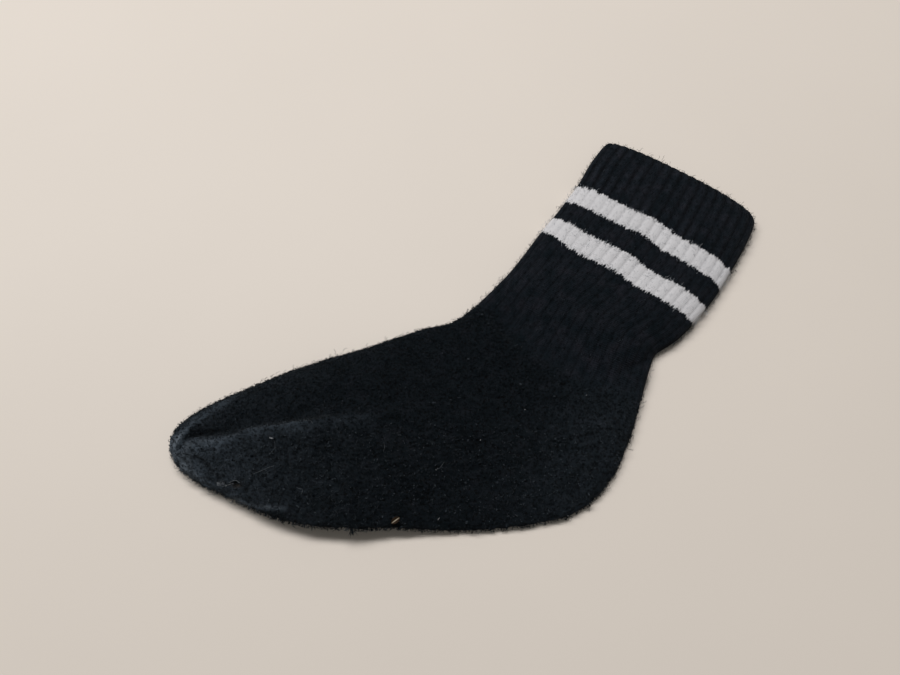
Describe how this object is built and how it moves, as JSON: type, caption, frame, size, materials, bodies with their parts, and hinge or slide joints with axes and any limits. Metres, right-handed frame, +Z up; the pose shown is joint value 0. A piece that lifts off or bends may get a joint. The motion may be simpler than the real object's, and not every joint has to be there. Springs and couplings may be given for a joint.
{
  "type": "holey sock",
  "caption": "Worn black ribbed ankle sock with two white rings, lying flat on its side, mouth open and toe closed.",
  "frame": {"origin": "on the surface that the sock lies on, under the middle of its bounding box", "axes": "+X along the foot from the toe to the heel, +Y from the sole towards the mouth of the leg, +Z up from the surface"},
  "size_m": [0.2971, 0.2137, 0.0145],
  "materials": {
    "knit": "matt black cotton terry and rib knit with two white rings, pilled"
  },
  "bodies": {
    "root": {"sock": "knit"}
  },
  "joints": []
}
